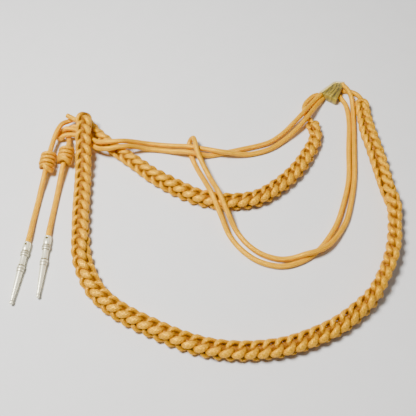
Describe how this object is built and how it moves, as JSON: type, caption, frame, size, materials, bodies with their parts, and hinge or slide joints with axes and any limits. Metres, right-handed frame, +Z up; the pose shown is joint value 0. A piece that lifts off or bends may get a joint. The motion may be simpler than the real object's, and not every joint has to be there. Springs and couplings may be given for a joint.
{
  "type": "aiguillette",
  "caption": "Gold cord aiguillette: a long and a short plait, doubled plain cords and knotted pencil cords with turned metal tips, gathered in a folded shoulder tab.",
  "frame": {"origin": "on the table, under the middle of the plaits, knots, tips and shoulder tab", "axes": "+Z up from the table, +X across the spread from the tips towards the long plait's outer side, +Y from the bottom of the long plait's bend towards the shoulder tab"},
  "size_m": [0.4254, 0.3626, 0.03],
  "materials": {
    "cord_gold": "braided golden rayon cord with a soft sheen",
    "tab_ribbon": "shiny olive-gold ribbon, folded and creased",
    "tip_metal": "turned and polished, pale gilt"
  },
  "bodies": {
    "root": {"plait_long": "cord_gold", "plait_short": "cord_gold", "shoulder_tab": "tab_ribbon", "knot_1": "cord_gold", "knot_2": "cord_gold", "tip_1": "tip_metal", "tip_2": "tip_metal", "cut_end_top": "cord_gold", "cut_end_side": "cord_gold", "front_cord_out": "cord_gold", "front_cord_bight": "cord_gold", "front_cord_back": "cord_gold", "loop_cord_out": "cord_gold", "loop_cord_bight": "cord_gold", "loop_cord_back": "cord_gold", "link_cord_long": "cord_gold", "link_cord_short": "cord_gold", "pencil_cord_1": "cord_gold", "pencil_cord_2": "cord_gold"}
  },
  "joints": []
}
